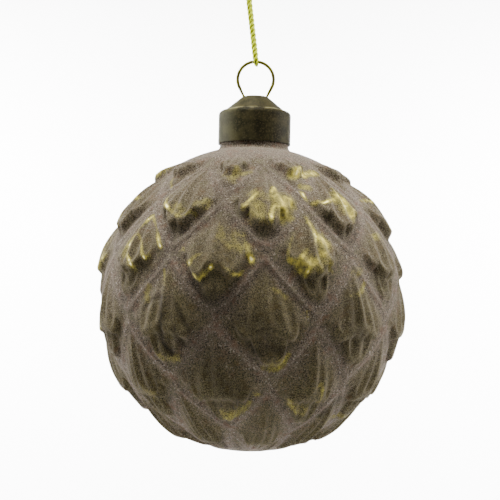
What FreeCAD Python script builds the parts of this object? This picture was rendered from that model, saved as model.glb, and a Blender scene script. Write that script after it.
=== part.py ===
import FreeCAD, Part
import math
import os

import Sketcher

# Leaf ball ornament: a mould-blown glass ball with rows of overlapping lobed leaves, a pressed
# brass cap over its neck, a sprung wire hanger and a doubled cord that is knotted above it.
# Millimetres and degrees, +Z up. The origin is the top of the hanger ring's eye, where the
# cord bears. The front of the ball faces -Y.

doc = FreeCAD.newDocument("leaf_ball_ornament")
Vec = FreeCAD.Vector

# Driving dimensions

SIZES = [
    ("ball_radius", 39.4, "plain crown of the ball, above the leaves"),
    ("glass_wall", 0.8, "glass at its thinnest, between the leaves"),
    ("ground_depth", 0.8, "ground between the leaves, under the plain crown"),
    ("leaf_count", 10, "leaves in a row"),
    ("leaf_turn", 5.5, "longitude of the first leaf, from the front"),
    ("leaf_height", 1.45, "a leaf's lower end above the ground"),
    ("leaf_start", 1.5, "bare ground below a scale's top edges"),
    ("leaf_ramp", 14.0, "length over which a leaf rises out of the ground"),
    ("ramp_power", 0.8, "swell of the leaf's face: under 1 it rises early"),
    ("leaf_slant", 0.8, "rise of a scale's lower edge to its side, in row pitches"),
    ("slant_power", 1.2, "bow of that edge: 1 is straight, more is rounder at the tip"),
    ("edge_fall", 2.0, "length over which a leaf's end drops to the ground"),
    ("fan_rise", 10.0, "point that the lobes fan out from, above a scale's top"),
    ("lobe_spread", 0.15, "width of a lobe over its distance from that point"),
    ("lobe_scallop", 2.3, "depth of the scallops between the lobes' ends"),
    ("lobe_relief", 0.2, "veins above and lobes' hollows below the leaf's face"),
    ("lip_inset", 1.6, "crest of a lobe's raised end, in from the end"),
    ("lip_width", 1.3, "half width of that crest"),
    ("lobe_margin", 4.3, "bare ground from the side lobes' ends down to the rim"),
    ("notch_margin", 11.0, "notch in the middle of the leaf, above the rim"),
    ("tongue_margin", 1.9, "bare ground from the middle lobes' ends down to the rim"),
    ("tongue_height", 0.6, "middle lobes, below the notch, above the ground"),
    ("tongue_lobes", 0.8, "half width of the middle part, in lobes"),
    ("rim_width", 0.8, "raised line between two scales"),
    ("rim_height", 0.25, "raised line above the ground"),
    ("tips_z", 40.0, "latitude of the top row's tips"),
    ("tips_a", 18.0, "latitude of the second row's tips"),
    ("tips_b", -5.0, "latitude of the third row's tips"),
    ("tips_c", -28.0, "latitude of the fourth row's tips"),
    ("tips_d", -54.0, "latitude of the fifth row's tips"),
    ("tips_e", -79.0, "latitude of the bottom row's tips"),
    ("crown_latitude", 64.0, "the relief starts below this latitude"),
    ("crown_fade", 12.0, "latitudes over which the relief comes in"),
    ("foot_latitude", -82.0, "the relief ends above this latitude"),
    ("foot_fade", 22.0, "latitudes over which the relief goes out"),
    ("pole_latitude", -87.0, "edge of the small flat at the bottom"),
    ("neck_radius", 8.95, "outside of the glass neck"),
    ("neck_flare", 1.5, "radius between neck and ball"),
    ("neck_length", 8.4, "straight neck, from its flare to the mouth"),
    ("neck_shown", 0.45, "straight neck in view below the cap's rim"),
    ("mouth_cut", 1.0, "inside of the glass, cut on past the mouth to open it"),
    ("cap_sheet", 0.35, "brass sheet"),
    ("cap_clearance", 0.15, "cap's skirt to neck, all round"),
    ("cap_seat", 0.42, "mouth of the neck below the cap's ledge"),
    ("cap_crown", 3.9, "cone of the cap, from its ledge up"),
    ("cap_ledge", 1.45, "step from the cap's skirt in to the foot of its cone"),
    ("cap_top_radius", 3.3, "flat top of the cap"),
    ("cap_shoulder", 1.2, "rounding of the cap's shoulder"),
    ("cap_foot_round", 0.45, "rounding at the foot of the cone"),
    ("cap_top_round", 0.7, "rounding round the flat top"),
    ("wire_radius", 0.25, "hanger wire"),
    ("ring_radius", 4.7, "hanger ring, to the middle of the wire"),
    ("ring_rise", 4.65, "ring's centre above the cap"),
    ("leg_angle", 26.0, "lean of the hanger's legs where they enter the cap"),
    ("leg_bend_drop", 0.9, "legs' bend below the cap's sheet"),
    ("leg_bend_radius", 0.8, "legs' bend"),
    ("leg_depth", 7.6, "legs' ends below the mouth of the neck"),
    ("leg_gap", 0.06, "legs' ends to the inside of the neck"),
    ("hole_clearance", 0.08, "cap's holes round the legs"),
    ("cord_radius", 0.57, "one strand of the cord"),
    ("wrap_clearance", 0.02, "cord to the ring's wire, where it wraps round"),
    ("knot_radius", 1.9, "knot at its widest"),
    ("knot_neck", 1.45, "flat ends of the knot, where the strands come out"),
    ("knot_length", 3.6, "knot between its flat ends"),
    ("tail_length", 3.0, "cut tails above the knot"),
    ("tail_spread", 0.45, "foot of each tail from the knot's axis"),
    ("tail_splay", 9.0, "lean of each tail"),
]

sheet = doc.addObject("Spreadsheet::Sheet", "Sizes")
for line, (name, value, meaning) in enumerate(SIZES, start=1):
    sheet.set("A%d" % line, name)
    sheet.set("B%d" % line, str(value))
    sheet.set("C%d" % line, meaning)
    sheet.setAlias("B%d" % line, name)
doc.recompute()


def size(name):
    """A driving dimension, read from the sheet."""
    return float(sheet.get(name))


# Edges that lie this close in height or radius are taken as the same one
TOUCH = 1e-4

# Heights of the pieces, chained down from the hanging point

RING_CENTRE = -(size("ring_radius") - size("wire_radius"))
CAP_TOP = RING_CENTRE - size("ring_rise")
CAP_LEDGE = CAP_TOP - size("cap_crown")
MOUTH = CAP_LEDGE - size("cap_sheet") - size("cap_seat")
FLARE_REACH = math.sqrt(
    (size("ball_radius") + size("neck_flare"))**2 - (size("neck_radius") + size("neck_flare"))**2
)
BALL_CENTRE = MOUTH - size("neck_length") - FLARE_REACH
CAP_RIM = MOUTH - size("neck_length") + size("neck_shown")
CAP_SKIRT = CAP_LEDGE - CAP_RIM
BORE_RADIUS = size("neck_radius") - size("glass_wall")


def cylinder_point(radius, longitude, height):
    """A point at this distance from the Z axis. Longitude 0 is the front, -Y, and grows to +X."""
    turn = math.radians(longitude)
    return Vec(radius * math.sin(turn), -radius * math.cos(turn), height)


def ease(value):
    """Rises smoothly from 0 to 1 as value goes from 0 to 1."""
    value = min(max(value, 0.0), 1.0)
    return value * value * (3 - 2 * value)


# Relief of the leaves

ROW_TIPS = [size("tips_" + row) for row in "zabcde"]
TOP_PITCH = ROW_TIPS[0] - ROW_TIPS[1]
FOOT_PITCH = ROW_TIPS[-2] - ROW_TIPS[-1]
HALF_LEAF = 180.0 / size("leaf_count")
HALF_LEAF_MM = math.radians(HALF_LEAF) * size("ball_radius")
ROW_MM = math.radians(ROW_TIPS[1] - ROW_TIPS[2]) * size("ball_radius")


def row_coordinate(latitude):
    """Counts rows downwards: 0 at the top row's tips, 1 at the next row's, even in between."""
    if latitude >= ROW_TIPS[0]:
        return (ROW_TIPS[0] - latitude) / TOP_PITCH
    for row in range(len(ROW_TIPS) - 1):
        above, below = ROW_TIPS[row], ROW_TIPS[row + 1]
        if latitude >= below:
            return row + (above - latitude) / (above - below)
    return len(ROW_TIPS) - 1 + (ROW_TIPS[-1] - latitude) / FOOT_PITCH


def scale_edge(aside):
    """How far a scale's lower edge lies above its tip, in rows, at 0 (midrib) to 1 (side)."""
    return size("leaf_slant") * aside ** size("slant_power")


def bump(distance, width):
    """A smooth bump, 1 at distance 0 and gone at about twice the width."""
    return math.exp(-((distance / width)**2))


def leaf_on_scale(aside, below_top, up_mm, down_mm):
    """Height of one leaf over the ground of its scale, in mm.

    aside runs from 0 at the midrib to 1 at the scale's side, below_top is the distance below
    the scale's upper corner, up_mm the height over its lower edge and down_mm the distance
    below its upper edge. The lobes fan out from a point above the scale. Each lobe is a
    shallow hollow between raised veins, with a raised, scalloped end. Side lobes form the
    high tier, which leaves a notch at the midrib; two lower lobes fill the notch.
    """
    fan = aside * HALF_LEAF_MM / (below_top + size("fan_rise")) / size("lobe_spread")
    across = 2 * (fan - math.floor(fan)) - 1
    scallop = size("lobe_scallop") * across**2
    outside = ease((fan - size("tongue_lobes")) / size("tongue_lobes") + 0.5)
    low_end = size("tongue_margin") + (size("lobe_margin") - size("tongue_margin")) * outside
    high_end = size("notch_margin") + (size("lobe_margin") - size("notch_margin")) * outside
    above_low, above_high = up_mm - low_end - scallop, up_mm - high_end - scallop
    low_tier = ease(above_low / size("edge_fall") + 0.5)
    high_tier = ease(above_high / size("edge_fall") + 0.5)
    rise = ease((down_mm - size("leaf_start")) / size("leaf_ramp"))**size("ramp_power")
    step = size("leaf_height") - size("tongue_height")
    face = (size("tongue_height") * low_tier + step * high_tier) * rise
    low_lip = bump(above_low - size("lip_inset"), size("lip_width")) * (1 - outside)
    high_lip = bump(above_high - size("lip_inset"), size("lip_width"))
    lip = min(low_lip + high_lip, 1.0)
    veins = -math.cos(math.pi * across) * (1 - lip) + lip
    return face + size("lobe_relief") * veins * low_tier * ease(down_mm / size("leaf_ramp"))


def relief(longitude, latitude):
    """Height of the moulded surface over the plain ball, in mm.

    The ball is tiled with pointed scales, staggered from row to row, with a raised line on
    every edge between them and a lobed leaf on each.
    """
    down = row_coordinate(latitude)
    height = -size("ground_depth")
    for row in range(math.floor(down), math.floor(down) + 3):
        offset = longitude - size("leaf_turn") - (0 if row % 2 else HALF_LEAF)
        aside = abs((offset + HALF_LEAF) % (2 * HALF_LEAF) - HALF_LEAF) / HALF_LEAF
        to_edge = row - scale_edge(aside) - down
        from_top = down - (row - 1 - scale_edge(1 - aside))
        if to_edge < 0 or from_top <= 0:
            continue
        up_mm, down_mm = to_edge * ROW_MM, from_top * ROW_MM
        below_top = (down - (row - 1 - scale_edge(1))) * ROW_MM
        height += leaf_on_scale(aside, below_top, up_mm, down_mm)
        height += size("rim_height") * bump(min(up_mm, down_mm), size("rim_width"))
    crown = ease((size("crown_latitude") - latitude) / size("crown_fade"))
    foot = ease((latitude - size("foot_latitude")) / size("foot_fade"))
    return height * crown * foot


# Outer skin of the glass, neck and all, with its centre at the origin

COLUMNS = 36
LEAF_STEP = 1.2
NECK_STEPS = 5
FLARE_STEPS = 5


def meridian():
    """Stations down the ball as (radius, height, latitude), latitude None off the ball.

    The neck's wall runs down from the mouth, the flare is an arc tangent to the neck and to
    the ball, and the ball runs from the flare to the small flat at the bottom.
    """
    neck, flare, ball = size("neck_radius"), size("neck_flare"), size("ball_radius")
    sweep = math.atan2(FLARE_REACH, neck + flare)
    stations = []
    for step in range(NECK_STEPS):
        rise = size("neck_length") * (1 - step / NECK_STEPS)
        stations.append((neck, FLARE_REACH + rise, None))
    for step in range(FLARE_STEPS):
        turn = sweep * step / FLARE_STEPS
        radius = neck + flare - flare * math.cos(turn)
        stations.append((radius, FLARE_REACH - flare * math.sin(turn), None))
    top = math.degrees(sweep)
    steps = round((top - size("pole_latitude")) / LEAF_STEP)
    for step in range(steps + 1):
        latitude = top + (size("pole_latitude") - top) * step / steps
        turn = math.radians(latitude)
        stations.append((ball * math.cos(turn), ball * math.sin(turn), latitude))
    return stations


def leaf_gore():
    """One leaf's width of the skin, mouth to bottom, as a bicubic B-spline face.

    The control net is one column wider than the gore on each side, so neighbouring gores
    meet with the same slope and curvature.
    """
    net = []
    for column in range(-1, COLUMNS + 2):
        longitude = 2 * HALF_LEAF * column / COLUMNS
        line = []
        for radius, height, latitude in meridian():
            swell = 1.0
            if latitude is not None:
                swell += relief(longitude, latitude) / size("ball_radius")
            line.append(cylinder_point(radius * swell, longitude, height * swell))
        net.append(line)
    across, along = len(net), len(net[0])
    surface = Part.BSplineSurface()
    surface.buildFromPolesMultsKnots(
        net,
        [1] * (across + 4),
        [4] + [1] * (along - 4) + [4],
        list(range(across + 4)),
        list(range(along - 2)),
        False,
        False,
        3,
        3,
    )
    surface.segment(3, across, 0, along - 3)
    return surface.toShape()


def flat_over(faces, height):
    """The flat face inside the ring of edges that lies at this height."""
    ring = []
    for face in faces:
        for edge in face.Edges:
            box = edge.BoundBox
            if abs(box.ZMin - height) < TOUCH and abs(box.ZMax - height) < TOUCH:
                ring.append(edge)
    return Part.Face(Part.Wire(Part.__sortEdges__(ring)))


def leaf_skin():
    """The gore repeated round the axis, closed by a flat at the mouth and one at the bottom."""
    gore = leaf_gore()
    gores = []
    for leaf in range(int(size("leaf_count"))):
        turned = gore.copy()
        turned.rotate(Vec(0, 0, 0), Vec(0, 0, 1), 2 * HALF_LEAF * leaf)
        gores.append(turned)
    wall = Part.makeCompound(gores)
    wall.sewShape(TOUCH)
    stations = meridian()
    flats = [flat_over(wall.Faces, stations[0][1]), flat_over(wall.Faces, stations[-1][1])]
    skin = Part.makeCompound(wall.Faces + flats)
    skin.sewShape(TOUCH)
    solid = Part.makeSolid(skin.Shells[0])
    if solid.Volume < 0:
        solid.reverse()
    return solid


skin = doc.addObject("Part::Feature", "LeafSkin")
skin.Shape = leaf_skin()


def origin_plane(body, role):
    """One of a body's own origin planes or axes, found by its role."""
    for item in body.Origin.OriginFeatures:
        if item.Role == role:
            return item


def sketch_on(body, role, name):
    """A new sketch of this body, lying on one of its origin planes."""
    sketch = body.newObject("Sketcher::SketchObject", name)
    sketch.AttachmentSupport = [(origin_plane(body, role), "")]
    sketch.MapMode = "FlatFace"
    return sketch


def bind(sketch, kind, *places, to):
    """Adds a dimension to a sketch and ties it to an expression over the sheet."""
    now = float(sketch.evalExpression(to))
    index = sketch.addConstraint(Sketcher.Constraint(kind, *places, now))
    sketch.setExpression("Constraints[%d]" % index, to)


def polygon(sketch, points):
    """Closed outline of straight lines through these points, joined end to end."""
    count = len(points)
    for number in range(count):
        start, end = points[number], points[(number + 1) % count]
        sketch.addGeometry(Part.LineSegment(Vec(*start, 0), Vec(*end, 0)), False)
    for number in range(count):
        sketch.addConstraint(Sketcher.Constraint("Coincident", number, 2, (number + 1) % count, 1))


# Inside of the glass: a plain ball open through the neck

cavity = doc.addObject("PartDesign::Body", "GlassInside")
inside = sketch_on(cavity, "XZ_Plane", "InsideProfile")
bore = BORE_RADIUS
inner = size("ball_radius") - size("ground_depth") - size("glass_wall")
lip = FLARE_REACH + size("neck_length") + size("mouth_cut")
turn = math.atan2(math.sqrt(inner**2 - bore**2), bore)
round_wall = Part.Circle(Vec(0, 0, 0), Vec(0, 0, 1), inner)
inside.addGeometry(Part.ArcOfCircle(round_wall, -math.pi / 2, turn), False)
shoulder_height = inner * math.sin(turn)
inside.addGeometry(Part.LineSegment(Vec(bore, shoulder_height, 0), Vec(bore, lip, 0)), False)
inside.addGeometry(Part.LineSegment(Vec(bore, lip, 0), Vec(0, lip, 0)), False)
inside.addGeometry(Part.LineSegment(Vec(0, lip, 0), Vec(0, -inner, 0)), False)
for join in [(0, 2, 1, 1), (1, 2, 2, 1), (2, 2, 3, 1), (3, 2, 0, 1), (0, 3, -1, 1)]:
    inside.addConstraint(Sketcher.Constraint("Coincident", *join))
inside.addConstraint(Sketcher.Constraint("Vertical", 1))
inside.addConstraint(Sketcher.Constraint("Horizontal", 2))
inside.addConstraint(Sketcher.Constraint("PointOnObject", 3, 1, -2))
inside.addConstraint(Sketcher.Constraint("PointOnObject", 3, 2, -2))
bind(inside, "Radius", 0, to="Sizes.ball_radius - Sizes.ground_depth - Sizes.glass_wall")
bind(inside, "DistanceX", -1, 1, 1, 2, to="Sizes.neck_radius - Sizes.glass_wall")
LIP = (
    "sqrt((Sizes.ball_radius + Sizes.neck_flare) ^ 2 - (Sizes.neck_radius + Sizes.neck_flare) ^ 2)"
    " + Sizes.neck_length + Sizes.mouth_cut"
)
bind(inside, "DistanceY", -1, 1, 1, 2, to=LIP)
hollow = cavity.newObject("PartDesign::Revolution", "InsideSpin")
hollow.Profile = inside
hollow.ReferenceAxis = (inside, ["V_Axis"])
hollow.Angle = 360

ball = doc.addObject("Part::Cut", "Ball")
ball.Label = "glass_ball"
ball.Base = skin
ball.Tool = cavity
ball.Placement = FreeCAD.Placement(Vec(0, 0, BALL_CENTRE), FreeCAD.Rotation())

# Cap: a pressed brass sheet, its rim at the body's origin

cap = doc.addObject("PartDesign::Body", "Cap")
cap.Label = "cap"
profile = sketch_on(cap, "XZ_Plane", "CapProfile")
outer = size("neck_radius") + size("cap_clearance") + size("cap_sheet")
ledge = CAP_SKIRT
crown = ledge + size("cap_crown")
foot = outer - size("cap_ledge")
top = size("cap_top_radius")
polygon(profile, [(0, 0), (outer, 0), (outer, ledge), (foot, ledge), (top, crown), (0, crown)])
for flat in (0, 2, 4):
    profile.addConstraint(Sketcher.Constraint("Horizontal", flat))
for upright in (1, 5):
    profile.addConstraint(Sketcher.Constraint("Vertical", upright))
profile.addConstraint(Sketcher.Constraint("Coincident", 0, 1, -1, 1))
SKIRT_RADIUS = "Sizes.neck_radius + Sizes.cap_clearance + Sizes.cap_sheet"
SKIRT = "Sizes.neck_length - Sizes.neck_shown + Sizes.cap_seat + Sizes.cap_sheet"
bind(profile, "DistanceX", 0, 1, 0, 2, to=SKIRT_RADIUS)
bind(profile, "DistanceY", 1, 1, 1, 2, to=SKIRT)
bind(profile, "DistanceX", -1, 1, 2, 2, to=SKIRT_RADIUS + " - Sizes.cap_ledge")
bind(profile, "DistanceX", -1, 1, 3, 2, to="Sizes.cap_top_radius")
bind(profile, "DistanceY", -1, 1, 4, 2, to=SKIRT + " + Sizes.cap_crown")
blank = cap.newObject("PartDesign::Revolution", "CapBlank")
blank.Profile = profile
blank.ReferenceAxis = (profile, ["V_Axis"])
blank.Angle = 360
doc.recompute()


def ring_edge(feature, radius, height):
    """Name of the feature's round edge with this radius at this height in its body."""
    for number, edge in enumerate(feature.Shape.Edges, start=1):
        if not isinstance(edge.Curve, Part.Circle):
            continue
        circle = edge.Curve
        if abs(circle.Radius - radius) < TOUCH and abs(circle.Center.z - height) < TOUCH:
            return "Edge%d" % number


def rounded(body, name, base, radius, height, cell):
    """Fillets one round edge of a body with a radius from the sheet."""
    fillet = body.newObject("PartDesign::Fillet", name)
    fillet.Base = (base, [ring_edge(base, radius, height)])
    fillet.setExpression("Radius", "Sizes." + cell)
    doc.recompute()
    return fillet


shoulder = rounded(cap, "CapShoulder", blank, outer, ledge, "cap_shoulder")
cone_foot = rounded(cap, "CapConeFoot", shoulder, foot, ledge, "cap_foot_round")
cone_top = rounded(cap, "CapConeTop", cone_foot, top, crown, "cap_top_round")

shell = cap.newObject("PartDesign::Thickness", "CapSheet")
open_face = None
for number, face in enumerate(cone_top.Shape.Faces, start=1):
    if face.BoundBox.ZMax < TOUCH:
        open_face = "Face%d" % number
shell.Base = (cone_top, [open_face])
shell.setExpression("Value", "Sizes.cap_sheet")
shell.Reversed = True
shell.Mode = 0
shell.Join = 0
doc.recompute()

# Two holes in the cap's top, where the hanger's legs cross the middle of the sheet

LEG_AT_SHEET = (
    "Sizes.ring_radius * cos(Sizes.leg_angle * 1 deg)"
    " - (Sizes.ring_rise + Sizes.cap_sheet / 2 - Sizes.ring_radius * sin(Sizes.leg_angle * 1 deg))"
    " * tan(Sizes.leg_angle * 1 deg)"
)
HOLE_RADIUS = (
    "Sizes.wire_radius / cos(Sizes.leg_angle * 1 deg)"
    " + Sizes.cap_sheet / 2 * tan(Sizes.leg_angle * 1 deg) + Sizes.hole_clearance"
)
holes = sketch_on(cap, "XY_Plane", "LegHoles")
leg_x = float(holes.evalExpression(LEG_AT_SHEET))
hole_radius = float(holes.evalExpression(HOLE_RADIUS))
for side in (-1, 1):
    holes.addGeometry(Part.Circle(Vec(leg_x * side, 0, 0), Vec(0, 0, 1), hole_radius), False)
for number in (0, 1):
    holes.addConstraint(Sketcher.Constraint("PointOnObject", number, 3, -1))
holes.addConstraint(Sketcher.Constraint("Equal", 0, 1))
bind(holes, "Radius", 0, to=HOLE_RADIUS)
bind(holes, "DistanceX", 0, 3, -1, 1, to=LEG_AT_SHEET)
bind(holes, "DistanceX", -1, 1, 1, 3, to=LEG_AT_SHEET)
pierced = cap.newObject("PartDesign::Pocket", "CapHoles")
pierced.Profile = holes
pierced.Type = "ThroughAll"
pierced.Reversed = True
cap.Placement = FreeCAD.Placement(Vec(0, 0, CAP_RIM), FreeCAD.Rotation())
doc.recompute()
if pierced.Shape.Volume >= shell.Shape.Volume:
    raise RuntimeError("the cap's holes cut nothing")


def path_edges(points, radii):
    """Straight runs through these points, joined by arcs of these radii, tangent to both runs."""
    edges = []
    start = points[0]
    for number, radius in enumerate(radii, start=1):
        corner = points[number]
        back = (points[number - 1] - corner).normalize()
        ahead = (points[number + 1] - corner).normalize()
        half = back.getAngle(ahead) / 2
        reach = radius / math.tan(half)
        middle = (back + ahead).normalize() * (radius / math.sin(half) - radius)
        first, last = corner + back * reach, corner + ahead * reach
        if (first - start).Length > 1e-6:
            edges.append(Part.LineSegment(start, first).toShape())
        edges.append(Part.Arc(first, corner + middle, last).toShape())
        start = last
    edges.append(Part.LineSegment(start, points[-1]).toShape())
    return edges


def wire_sweep(name, label, edges, start, direction, cell):
    """A round wire or cord swept along these edges, its radius tied to a cell of the sheet."""
    path = doc.addObject("Part::Feature", name + "Path")
    path.Shape = Part.Wire(edges)
    section = doc.addObject("Part::Circle", name + "Section")
    section.setExpression("Radius", "Sizes." + cell)
    section.Placement = FreeCAD.Placement(start, FreeCAD.Rotation(Vec(0, 0, 1), direction))
    sweep = doc.addObject("Part::Sweep", name)
    sweep.Label = label
    sweep.Sections = [section]
    sweep.Spine = (path, ["Edge%d" % (n + 1) for n in range(len(path.Shape.Edges))])
    sweep.Solid = True
    sweep.Frenet = False
    return sweep


# Hanger: one wire bent to a ring, with two legs that spring against the inside of the neck

lean = math.radians(size("leg_angle"))
ring = size("ring_radius")
leave = Vec(ring * math.cos(lean), 0, RING_CENTRE - ring * math.sin(lean))
bend_z = CAP_TOP - size("cap_sheet") - size("leg_bend_drop")
bend = Vec(leave.x - (leave.z - bend_z) * math.tan(lean), 0, bend_z)
leg_end = Vec(BORE_RADIUS - size("wire_radius") - size("leg_gap"), 0, MOUTH - size("leg_depth"))


def mirrored(point):
    """The point on the hanger's other side."""
    return Vec(-point.x, point.y, point.z)


right_leg = path_edges([leave, bend, leg_end], [size("leg_bend_radius")])
left_leg = path_edges([mirrored(p) for p in (leg_end, bend, leave)], [size("leg_bend_radius")])
over_top = Part.Arc(mirrored(leave), Vec(0, 0, RING_CENTRE + ring), leave).toShape()
first_run = mirrored(bend) - mirrored(leg_end)
hanger = wire_sweep(
    "Hanger",
    "wire_hanger",
    left_leg + [over_top] + right_leg,
    mirrored(leg_end),
    first_run,
    "wire_radius",
)

# Cord: down behind the knot, once round the ring's wire and up again, pulled taut

CORD_ROUTE = [
    (-2.36, -0.60, 17.70),
    (-0.46, -0.60, 3.62),
    (-0.12, -0.90, 1.10),
    (0.12, -0.86, -0.61),
    (0.12, 0.86, -0.61),
    (-0.12, 0.90, 1.10),
    (-0.46, 0.60, 3.62),
    (-2.36, 0.60, 17.70),
]
AT_RING = (3, 4)
CORNER_SHARE = 0.45
route = [Vec(*point) for point in CORD_ROUTE]
wrap_radius = size("wire_radius") + size("cord_radius") + size("wrap_clearance")
cord_radii = []
for number in range(1, len(route) - 1):
    back = route[number - 1] - route[number]
    ahead = route[number + 1] - route[number]
    half_turn = (math.pi - back.getAngle(ahead)) / 2
    radius = CORNER_SHARE * min(back.Length, ahead.Length) / math.tan(half_turn)
    if number in AT_RING:
        radius = wrap_radius
    cord_radii.append(radius)
cord_edges = path_edges(route, cord_radii)
cord = wire_sweep(
    "Cord", "hanging_cord", cord_edges, route[0], route[1] - route[0], "cord_radius"
)

# Knot: a closed barrel in line with the taut strands, with the cord's two cut tails on top

pull = (route[0] - route[1]).normalize()
knot_seat = (route[0] + route[-1]) * 0.5
knot_turn = FreeCAD.Rotation(Vec(0, 0, 1), pull)
barrel = doc.addObject("PartDesign::Body", "KnotBarrel")
knot_profile = sketch_on(barrel, "XZ_Plane", "KnotProfile")
ends, length, widest = size("knot_neck"), size("knot_length"), size("knot_radius")
bulge = Part.Arc(Vec(ends, 0, 0), Vec(widest, length / 2, 0), Vec(ends, length, 0))
knot_profile.addGeometry(Part.LineSegment(Vec(0, 0, 0), Vec(ends, 0, 0)), False)
knot_profile.addGeometry(bulge, False)
knot_profile.addGeometry(Part.LineSegment(Vec(ends, length, 0), Vec(0, length, 0)), False)
knot_profile.addGeometry(Part.LineSegment(Vec(0, length, 0), Vec(0, 0, 0)), False)
for join in [(0, 2, 1, 1), (1, 2, 2, 1), (2, 2, 3, 1), (3, 2, 0, 1), (0, 1, -1, 1)]:
    knot_profile.addConstraint(Sketcher.Constraint("Coincident", *join))
knot_profile.addConstraint(Sketcher.Constraint("Horizontal", 0))
knot_profile.addConstraint(Sketcher.Constraint("Horizontal", 2))
knot_profile.addConstraint(Sketcher.Constraint("Vertical", 3))
bind(knot_profile, "DistanceX", 0, 1, 0, 2, to="Sizes.knot_neck")
bind(knot_profile, "DistanceX", 2, 2, 2, 1, to="Sizes.knot_neck")
bind(knot_profile, "DistanceY", -1, 1, 2, 2, to="Sizes.knot_length")
swell = "(Sizes.knot_radius - Sizes.knot_neck)"
bind(
    knot_profile,
    "Radius",
    1,
    to="(" + swell + " ^ 2 + (Sizes.knot_length / 2) ^ 2) / (2 * " + swell + ")",
)
knot_spin = barrel.newObject("PartDesign::Revolution", "KnotSpin")
knot_spin.Profile = knot_profile
knot_spin.ReferenceAxis = (knot_profile, ["V_Axis"])
knot_spin.Angle = 360
tails = []
for side in (-1, 1):
    tail = doc.addObject("Part::Cylinder", "Tail")
    tail.setExpression("Radius", "Sizes.cord_radius")
    tail.setExpression("Height", "Sizes.tail_length + Sizes.knot_length / 2")
    splay = FreeCAD.Rotation(Vec(1, 0, 0), -size("tail_splay") * side)
    tail_foot = Vec(0, size("tail_spread") * side, size("knot_length") / 2)
    tail.Placement = FreeCAD.Placement(tail_foot, splay)
    tails.append(tail)
knot = doc.addObject("Part::MultiFuse", "Knot")
knot.Label = "cord_knot"
knot.Shapes = [barrel] + tails
knot.Placement = FreeCAD.Placement(knot_seat, knot_turn)

doc.recompute()

# Every object must be sound before anything is written

for item in doc.Objects:
    if "Invalid" in item.State or "Error" in item.State:
        raise RuntimeError("%s failed: %s" % (item.Name, item.State))

run_length = sum(edge.Length for edge in cord_edges)
expected = math.pi * size("cord_radius")**2 * run_length
print("cord length", round(run_length, 2), "volume", cord.Shape.Volume, "expected", expected)

PIECES = [ball, cap, hanger, cord, knot]
os.makedirs("parts", exist_ok=True)
for piece in PIECES:
    shape = piece.Shape
    if shape.isNull() or not shape.isValid() or len(shape.Solids) != 1:
        raise RuntimeError("%s is not one sound solid" % piece.Label)
    shape.exportStep("parts/%s.step" % piece.Label)
    print(piece.Label, round(shape.Volume, 2), shape.BoundBox)
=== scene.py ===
import math

import bpy
import numpy as np
from mathutils import Matrix, Vector


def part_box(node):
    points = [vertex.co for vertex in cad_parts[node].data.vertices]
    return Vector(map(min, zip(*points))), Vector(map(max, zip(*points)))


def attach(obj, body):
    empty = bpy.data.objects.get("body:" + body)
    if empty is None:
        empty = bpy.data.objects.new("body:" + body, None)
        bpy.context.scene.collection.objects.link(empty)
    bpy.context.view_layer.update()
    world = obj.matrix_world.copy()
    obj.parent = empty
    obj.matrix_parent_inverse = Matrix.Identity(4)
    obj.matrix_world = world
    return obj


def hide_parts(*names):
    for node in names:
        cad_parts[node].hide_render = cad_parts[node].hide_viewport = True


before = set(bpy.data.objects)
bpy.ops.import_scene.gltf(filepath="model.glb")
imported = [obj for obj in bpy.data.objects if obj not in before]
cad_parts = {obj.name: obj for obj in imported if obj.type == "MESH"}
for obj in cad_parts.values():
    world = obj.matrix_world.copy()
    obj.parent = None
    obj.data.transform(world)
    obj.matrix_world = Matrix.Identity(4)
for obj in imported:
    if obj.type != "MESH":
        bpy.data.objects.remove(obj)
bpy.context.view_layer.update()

MM = 0.001
IMAGE_SIDE = 500


# Small helpers


def linear(code):
    """An sRGB hex colour as the linear RGBA that shaders take."""
    parts = [int(code[i : i + 2], 16) / 255 for i in (1, 3, 5)]
    return tuple(p / 12.92 if p <= 0.04045 else ((p + 0.055) / 1.055) ** 2.4 for p in parts) + (1.0,)


def ease(x):
    """3x^2 - 2x^3 between 0 and 1, level outside: a smooth step, for arrays."""
    x = np.clip(x, 0.0, 1.0)
    return x * x * (3 - 2 * x)


def bump(distance, width):
    """A smooth bump, 1 at distance 0: exp(-(distance / width)^2)."""
    return np.exp(-((distance / width) ** 2))


def mesh_object(name, points, faces):
    """A smooth mesh object from an array of points in metres and a list of faces."""
    mesh = bpy.data.meshes.new(name)
    mesh.from_pydata(np.asarray(points).tolist(), [], faces)
    mesh.shade_smooth()
    made = bpy.data.objects.new(name, mesh)
    bpy.context.scene.collection.objects.link(made)
    return made


def add_attribute(target, name, values):
    """Stores one number per vertex under this name, for the materials to read."""
    layer = target.data.attributes.new(name, "FLOAT", "POINT")
    layer.data.foreach_set("value", np.asarray(values, np.float32).ravel())


# Where things are, in mm: the ball's own sizes, and heights from the frame

BALL_RADIUS = 39.4
INNER_RADIUS = 37.8
NECK_RADIUS = 8.95
NECK_FLARE = 1.5
NECK_LENGTH = 8.4
BORE_RADIUS = 8.15
CONE_HEIGHT = 3.9
FLARE_REACH = math.sqrt((BALL_RADIUS + NECK_FLARE) ** 2 - (NECK_RADIUS + NECK_FLARE) ** 2)
mouth_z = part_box("glass_ball")[1].z / MM
cap_top_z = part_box("cap")[1].z / MM
cap_ledge_z = cap_top_z - CONE_HEIGHT
BALL_CENTRE = Vector((0, 0, mouth_z - NECK_LENGTH - FLARE_REACH))

# Camera: level with the ball's centre, on the photo's axis

# Where the photo shows the ball's centre, and how far off the camera is, in the photo's pixels
CENTRE_PX = (251.8, 298.0)
DISTANCE_PX = 1165.0
PX_PER_MM = 3.84
ROLL = math.radians(1.3)
# Nearest distance that the camera shows, in mm
NEAREST_SEEN = 10.0

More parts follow.
